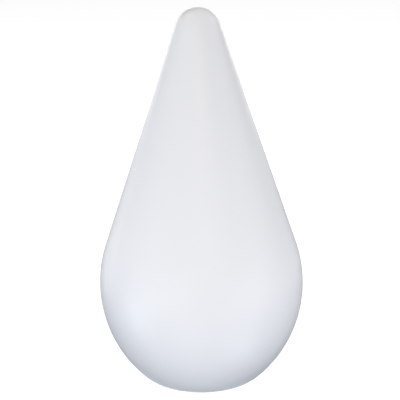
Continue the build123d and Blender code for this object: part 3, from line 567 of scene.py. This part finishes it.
# Dots round the dial grow clockwise from the least to the most mist. Angles are in degrees
DOT_COUNT = 10
DOT_CIRCLE = 12.9 * MM
DIAL_START = 225
DIAL_SWEEP = 270
DOT_LEAST = 0.32 * MM
DOT_MOST = 0.85 * MM

# Pointer in the dial's slot, measured from the dial's axis and along it
POINTER_PLACE = 5.89 * MM
POINTER_LENGTH = 4.4 * MM
POINTER_WIDTH = 0.9 * MM
POINTER_FLOOR = 2.6 * MM
POINTER_TOP = 3.0 * MM

# Ring of the power mark, with its first and last angle in degrees, and its bar's place, width and height
MARK_INNER = 1.55 * MM
MARK_OUTER = 1.95 * MM
MARK_ARC = (125, 415)
MARK_BAR = (1.5 * MM, 0.4 * MM, 1.8 * MM)


def printed(name, faces, node, body):
    """Ink that follows a node's outer surface, as a thin closed film."""
    surface = BVHTree.FromObject(nodes[node], bpy.context.evaluated_depsgraph_get())

    def on_surface(point, lift):
        start = PANEL @ Vector((*point, CAST_FROM))
        hit = surface.ray_cast(start, -PANEL_NORMAL)[0]
        return hit + PANEL_NORMAL * lift

    bm = bmesh.new()
    slab(bm, faces, lambda p: on_surface(p, -INK_SUNK), lambda p: on_surface(p, INK_PROUD))
    return make_piece(name, bm, body, [MARK_INK])


# Radius and height of the jack's collar, in millimetres, from its bore out over the rim
BEZEL_PROFILE = (
    (3.25, 0.02), (3.25, 1.5), (3.45, 1.7), (4.1, 1.7), (4.3, 1.5), (4.3, 0.9), (5.3, 0.9), (5.45, 0.75),
    (5.45, 0.02),
)
BEZEL_SIDES = 56


def make_dial_dots():
    """Scale round the mist dial."""
    faces = []
    for index in range(DOT_COUNT):
        share = index / (DOT_COUNT - 1)
        angle = radians(DIAL_START - DIAL_SWEEP * share)
        radius = DOT_LEAST + (DOT_MOST - DOT_LEAST) * share
        faces += dot_face(DOT_CIRCLE * cos(angle), DOT_CIRCLE * sin(angle), radius)
    printed("dial_dots", faces, "base_housing", "base")


def make_power_mark():
    """Standby sign on the power button: an open ring and a bar."""
    low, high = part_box("power_button")
    x = -(low.x + high.x) / 2
    faces = arc_faces(x, 0, MARK_INNER, MARK_OUTER, *MARK_ARC)
    faces += slot_face(x, *MARK_BAR)
    printed("power_mark", faces, "power_button", "button")


def make_dial_pointer():
    """Grey pointer that fills most of the slot in the dial's face."""
    turned = PANEL @ Matrix.Rotation(radians(DIAL_START) - QUARTER, 4, "Z")
    faces = slot_face(0, POINTER_PLACE, POINTER_WIDTH, POINTER_LENGTH)

    def at_height(height):
        return lambda point: turned @ Vector((*point, height))

    bm = bmesh.new()
    slab(bm, faces, at_height(POINTER_FLOOR), at_height(POINTER_TOP))
    make_piece("dial_pointer", bm, "dial", [MARK_INK])


def make_jack_bezel():
    """Stepped collar that closes the gap between the power jack and its tunnel."""
    low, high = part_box("power_jack")
    centre = Vector((0, high.y, (low.z + high.z) / 2))
    place = Matrix.Translation(centre) @ Matrix.Rotation(-QUARTER, 4, "X")
    bm = bmesh.new()
    lathe(bm, place, in_metres(BEZEL_PROFILE), BEZEL_SIDES)
    make_piece("jack_bezel", bm, "base", [FINISHES["black_plastic"]])


# ---------------------------------------------------------------------------
# Electronics detail
# ---------------------------------------------------------------------------

# x and z on the driver board, then width, height and depth of each part, all in millimetres
CHIPS = ((12, 44, 9, 4.4, 1.5), (-12, 44, 5, 4.4, 1.4))
CHIP_PINS = 4
CHIP_GAP = 0.2
CHIP_BEVEL = 0.2
PIN_PITCH = 1.27
PIN_WIRE = 0.2
PIN_SIDES = 6
# Steps of a bent chip pin: out from the chip's edge, and up from the board
PIN_STEPS = ((-0.1, 0.75), (0.5, 0.75), (0.8, 0.25), (1.3, 0.25))
SMALL_PARTS = (
    (-19, 38), (-19, 35), (-4, 50), (-1, 50), (6, 52), (9, 52), (12, 52), (19, 40), (19, 37), (4, 35),
    (7, 35), (-8, 52), (18, 22), (20.5, 22), (-4, 36), (-20, 24), (-20, 21), (20, 47), (20, 50),
)
SMALL_BODY = (1.4, 0.6, 1.2)
SMALL_END = (0.36, 0.63, 1.25)
SMALL_BEVEL = 0.1
END_BEVEL = 0.08
END_REACH = 0.84
TERMINALS = ((16, 30, 6.5, 5), (-14, 20, 6, 5), (3, 56, 6, 5), (-16, 50, 6.5, 5))
TERMINAL_DEPTH = 3.4
TERMINAL_BEVEL = 0.4
SOLDER_PITCH = 1.27
SOLDER_DOME = ((0.8, 0), (0.6, 0.3), (0.28, 0.8), (0, 0.95), (0, 0))
SOLDER_SIDES = 14
BOARD_GAP = 0.02
BOARD_MATERIALS = [FINISHES["black_plastic"], TIN, FINISHES["cap_plastic"]]
BLACK, METAL, PALE = range(3)

# The same for the control board, with x and y on the panel
CONTROL_FACE = -14.05
CONTROL_CHIP = (-8, 2, 6, 5, 1.4)
CONTROL_SMALL = ((0, 5), (3, 5), (6, -5), (9, -5), (-14, 6), (-3, -6), (0, -6))
CONTROL_PLUG = (14, 0, 6, 5, 3.2)


def small_part(bm, spot, x, z):
    """Chip resistor or capacitor with plated ends. spot places a point on the board."""
    middle = SMALL_BODY[1] / 2
    block(bm, spot(x, z, middle), SMALL_BODY, SMALL_BEVEL, BLACK)
    for side in (-1, 1):
        block(bm, spot(x + side * END_REACH, z, middle), SMALL_END, END_BEVEL, METAL)


def chip(bm, spot, x, z, width, height, depth):
    """Moulded chip with bent pins along its upper and lower sides."""
    block(bm, spot(x, z, CHIP_GAP + depth / 2), (width, depth, height), CHIP_BEVEL, BLACK)
    for index in range(CHIP_PINS):
        along = x + (index - (CHIP_PINS - 1) / 2) * PIN_PITCH
        for side in (-1, 1):
            edge = z + side * height / 2
            pin = [spot(along, edge + side * out, rise).translation for out, rise in PIN_STEPS]
            tube(bm, pin, PIN_WIRE * MM, PIN_SIDES, METAL)


def terminal(bm, spot, x, z, width, height, depth):
    """Moulded wire terminal."""
    block(bm, spot(x, z, depth / 2), (width, depth, height), TERMINAL_BEVEL, PALE)


def make_driver_parts():
    """Chips, small parts, terminals and solder joints on the driver board."""
    low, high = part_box("driver_board")
    rear = high.y + BOARD_GAP * MM
    front = low.y - BOARD_GAP * MM
    bm = bmesh.new()

    def spot(x, z, rise):
        return Matrix.Translation((x * MM, rear + rise * MM, z * MM))

    for x, z, width, height, depth in CHIPS:
        chip(bm, spot, x, z, width, height, depth)
    for x, z in SMALL_PARTS:
        small_part(bm, spot, x, z)
    for x, z, width, height in TERMINALS:
        terminal(bm, spot, x, z, width, height, TERMINAL_DEPTH)
        # Solder joints on the far side of the board
        for side in (-1, 1):
            joint = Matrix.Translation(((x + side * SOLDER_PITCH) * MM, front, z * MM))
            place = joint @ Matrix.Rotation(QUARTER, 4, "X")
            lathe(bm, place, in_metres(SOLDER_DOME), SOLDER_SIDES, METAL)
    make_piece("driver_parts", bm, "base", BOARD_MATERIALS)


def make_control_parts():
    """Chip, small parts and a plug on the inner face of the control board."""
    board = PANEL @ Matrix.Rotation(QUARTER, 4, "X")
    bm = bmesh.new()

    def spot(x, y, rise):
        return board @ Matrix.Translation((x * MM, (CONTROL_FACE - rise) * MM, -y * MM))

    chip(bm, spot, *CONTROL_CHIP)
    for x, y in CONTROL_SMALL:
        small_part(bm, spot, x, y)
    terminal(bm, spot, *CONTROL_PLUG)
    make_piece("control_parts", bm, "base", BOARD_MATERIALS)


# ---------------------------------------------------------------------------
# Wound pieces
# ---------------------------------------------------------------------------

TURN_STEPS = 28

# Drum core and winding of the inductor
FLANGE = 1.2 * MM
FLANGE_EDGE = 0.2 * MM
COIL_WIRE = 0.42 * MM
COIL_INSET = 0.15 * MM
COIL_TURNS = 7

# Coil spring of the water valve
SPRING_WIRE = 0.45 * MM
SPRING_SIDES = 10
SPRING_TURNS = 7
CLOSED_PITCH = 2.1 * SPRING_WIRE


def helix(radius, turns, height_at):
    """Points of a coil round Z. height_at gives the height after a number of turns."""
    points = []
    for index in range(turns * TURN_STEPS + 1):
        turn = index / TURN_STEPS
        angle = 2 * pi * turn
        points.append(Vector((radius * cos(angle), radius * sin(angle), height_at(turn))))
    return points


def make_inductor():
    """Drum core with an open winding of enamelled wire."""
    low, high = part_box("inductor")
    centre = (low + high) / 2
    length = high.y - low.y
    outer = (high.x - low.x) / 2
    coil = outer - COIL_WIRE - COIL_INSET
    core = coil - COIL_WIRE
    start = Matrix.Translation((centre.x, low.y, centre.z)) @ Matrix.Rotation(-QUARTER, 4, "X")
    half = [(0, 0), (outer - FLANGE_EDGE, 0), (outer, FLANGE_EDGE)]
    half += [(outer, FLANGE - FLANGE_EDGE), (outer - FLANGE_EDGE, FLANGE), (core, FLANGE)]
    bm = bmesh.new()
    lathe(bm, start, half + [(radius, length - height) for radius, height in reversed(half)], material=1)
    first = FLANGE + COIL_WIRE
    pitch = (length - 2 * first) / COIL_TURNS
    winding = helix(coil, COIL_TURNS, lambda turn: first + turn * pitch)
    tube(bm, [start @ point for point in winding], COIL_WIRE)
    piece = make_piece("inductor_coil", bm, "base", [FINISHES["copper"], FINISHES["magnet"]])
    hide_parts("inductor")


def make_valve_spring():
    """Coil spring with a closed turn at each end, set in place between the cap and the valve."""
    low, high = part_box("valve_spring")
    bottom = Vector(((low.x + high.x) / 2, (low.y + high.y) / 2, low.z))
    length = high.z - low.z
    open_pitch = (length - 2 * SPRING_WIRE - 2 * CLOSED_PITCH) / (SPRING_TURNS - 2)

    def height_at(turn):
        closed = min(turn, 1) + max(turn - SPRING_TURNS + 1, 0)
        return SPRING_WIRE + closed * CLOSED_PITCH + (turn - closed) * open_pitch

    coil = helix((high.x - low.x) / 2 - SPRING_WIRE, SPRING_TURNS, height_at)
    bm = bmesh.new()
    tube(bm, [bottom + point for point in coil], SPRING_WIRE, SPRING_SIDES)
    piece = make_piece("valve_spring_coil", bm, None, [FINISHES["spring_steel"]])
    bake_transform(piece)
    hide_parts("valve_spring")


# ---------------------------------------------------------------------------
# Capacitor ends
# ---------------------------------------------------------------------------

# x and z on the driver board, radius, and how far each capacitor ends short of the longest, in millimetres
CAPACITORS = ((2, 26, 3.2, 0), (11, 26, 3.2, 0), (-2, 42, 2.5, 4))
SLEEVE_LIP = 0.5
# Share of the end's radius, and height in millimetres
END_PROFILE = ((0, -0.2), (1, -0.2), (1, 0.1), (0, 0.1))
END_SIDES = 32
VENT_REACH = 1.3
VENT_WIDTH = 0.25
VENT_HEIGHT = 0.12
VENT_RISE = 0.14
VENT_BEVEL = 0.04


def make_capacitor_tops():
    """Bare aluminium ends with a crossed safety vent."""
    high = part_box("capacitors")[1]
    bm = bmesh.new()
    for x, z, radius, short in CAPACITORS:
        inner = radius - SLEEVE_LIP
        end = Matrix.Translation((x * MM, high.y - short * MM, z * MM))
        place = end @ Matrix.Rotation(-QUARTER, 4, "X")
        lathe(bm, place, in_metres([(inner * share, height) for share, height in END_PROFILE]), END_SIDES)
        for turn in (0, QUARTER):
            bar = place @ Matrix.Rotation(turn, 4, "Z") @ Matrix.Translation((0, 0, VENT_RISE * MM))
            block(bm, bar, (inner * VENT_REACH, VENT_WIDTH, VENT_HEIGHT), VENT_BEVEL)
    make_piece("capacitor_tops", bm, "base", [FINISHES["aluminium"]])


make_dial_dots()
make_power_mark()
make_dial_pointer()
make_jack_bezel()
make_driver_parts()
make_control_parts()
make_inductor()
make_capacitor_tops()
make_valve_spring()

# ---------------------------------------------------------------------------
# Stage, light and camera
# ---------------------------------------------------------------------------

# The camera stands in front of ORBIT_CENTRE, looks at AIM, and leans as the photograph's does
CAMERA_ELEVATION = radians(14)
CAMERA_DISTANCE = 1.5
CAMERA_ROLL = 0.014  # radians
CAMERA_REACH = 50
LENS = 138.9
SENSOR = 36.0
ORBIT_CENTRE = Vector((0, 0, 0.1905))
AIM = Vector((-0.0003, 0, 0.1836))
FLOOR_HALF = 12.0
FLOOR_TONES = ((0.88, 0.88, 0.88), (0.9, 0.9, 0.9))
FLOOR_GLOW = 0.95
WHITE = (1, 1, 1, 1)


def make_camera():
    """Camera at the photograph's angle."""
    data = bpy.data.cameras.new("camera")
    data.lens = LENS
    data.sensor_width = SENSOR
    data.clip_end = CAMERA_REACH
    camera = bpy.data.objects.new("camera", data)
    scene.collection.objects.link(camera)
    back = Vector((0, -cos(CAMERA_ELEVATION), sin(CAMERA_ELEVATION)))
    eye = ORBIT_CENTRE + back * CAMERA_DISTANCE
    look = (AIM - eye).to_track_quat("-Z", "Y").to_matrix().to_4x4()
    camera.matrix_world = Matrix.Translation(eye) @ look @ Matrix.Rotation(-CAMERA_ROLL, 4, "Z")
    scene.camera = camera


def make_floor():
    """Pale paper under the object."""
    corners = [(x * FLOOR_HALF, y * FLOOR_HALF, 0) for x, y in ((-1, -1), (1, -1), (1, 1), (-1, 1))]
    mesh = bpy.data.meshes.new("floor")
    mesh.from_pydata(corners, [], [(0, 1, 2, 3)])
    floor = bpy.data.objects.new("floor", mesh)
    scene.collection.objects.link(floor)
    shader = Shader("floor_paper", roughness=0.9, specular=0.0)
    shader.colour(shader.blend(shader.noise(scale=3, detail=3), *FLOOR_TONES))
    shader.bsdf.inputs["Emission Color"].default_value = WHITE
    shader.bsdf.inputs["Emission Strength"].default_value = FLOOR_GLOW
    mesh.materials.append(shader.material)
    # The paper is lit on its own, as a light table is, and adds no light of its own to the drop
    floor.visible_diffuse = False
    floor.visible_glossy = False
    floor.visible_shadow = False


def make_backdrop():
    """White all round for the camera; the lights alone light the object."""
    world = bpy.data.worlds.new("studio")
    scene.world = world
    world.use_nodes = True
    background = world.node_tree.nodes["Background"]
    background.inputs["Color"].default_value = WHITE
    background.inputs["Strength"].default_value = 1.0
    world.cycles_visibility.diffuse = False
    world.cycles_visibility.glossy = False


LIGHT_TARGET = Vector((0, 0, 0.15))
NEUTRAL = (0.975, 0.975, 1.0)
WARM = (1.0, 0.985, 0.975)
COOL = (0.88, 0.92, 1.0)
BLUE = (0.8, 0.87, 1.0)
# Distance and width of the large lamps, and of the two small ones beside the drop
STUDIO, WIDE = 1.6, 0.7
CLOSE, SMALL = 0.56, 0.3
# name, azimuth and elevation in degrees (0 is the front, 90 the right), distance, size, watts, tint
LIGHTS = (
    ("front_key", 15, 20, STUDIO, WIDE, 5.16, NEUTRAL),
    ("front_top", 0, 30, STUDIO, WIDE, 5.12, WARM),
    ("front_fill", -20, 0, STUDIO, WIDE, 4.64, NEUTRAL),
    ("left_top", -30, 45, STUDIO, WIDE, 2.1, WARM),
    ("right_fill", 70, 0, STUDIO, WIDE, 2.27, NEUTRAL),
    ("near_left", -45, -10, CLOSE, SMALL, 0.54, COOL),
    ("near_right", 45, -10, CLOSE, SMALL, 0.66, COOL),
    ("low_left", -75, -25, STUDIO, WIDE, 9.29, BLUE),
    ("low_right", 60, -50, STUDIO, WIDE, 7.08, BLUE),
    ("rim_left", -110, 65, STUDIO, WIDE, 8.13, WARM),
    ("rim_right", 110, 40, STUDIO, WIDE, 7.73, NEUTRAL),
    ("back_left", -130, -5, STUDIO, WIDE, 2.8, NEUTRAL),
    ("back_right", 130, -5, STUDIO, WIDE, 1.67, NEUTRAL),
    ("rear_left", -155, 10, STUDIO, WIDE, 4.0, NEUTRAL),
    ("rear_right", 155, 10, STUDIO, WIDE, 4.0, NEUTRAL),
    ("rear_key", 180, 6, STUDIO, WIDE, 4.5, NEUTRAL),
    ("rear_low", 180, -35, STUDIO, WIDE, 5.5, COOL),
)


def direction(azimuth, elevation):
    """From the object towards a lamp."""
    turn, rise = radians(azimuth), radians(elevation)
    return Vector((sin(turn) * cos(rise), -cos(turn) * cos(rise), sin(rise)))


def make_lights():
    """Round soft lamps that face the object from all sides."""
    for name, azimuth, elevation, distance, size, watts, colour in LIGHTS:
        data = bpy.data.lights.new(name, "AREA")
        data.shape = "DISK"
        data.size = size
        data.energy = watts
        data.color = colour
        light = bpy.data.objects.new(name, data)
        scene.collection.objects.link(light)
        back = direction(azimuth, elevation)
        light.location = LIGHT_TARGET + back * distance
        light.rotation_euler = (-back).to_track_quat("-Z", "Y").to_euler()


make_camera()
make_floor()
make_backdrop()
make_lights()
scene.view_settings.view_transform = "Standard"
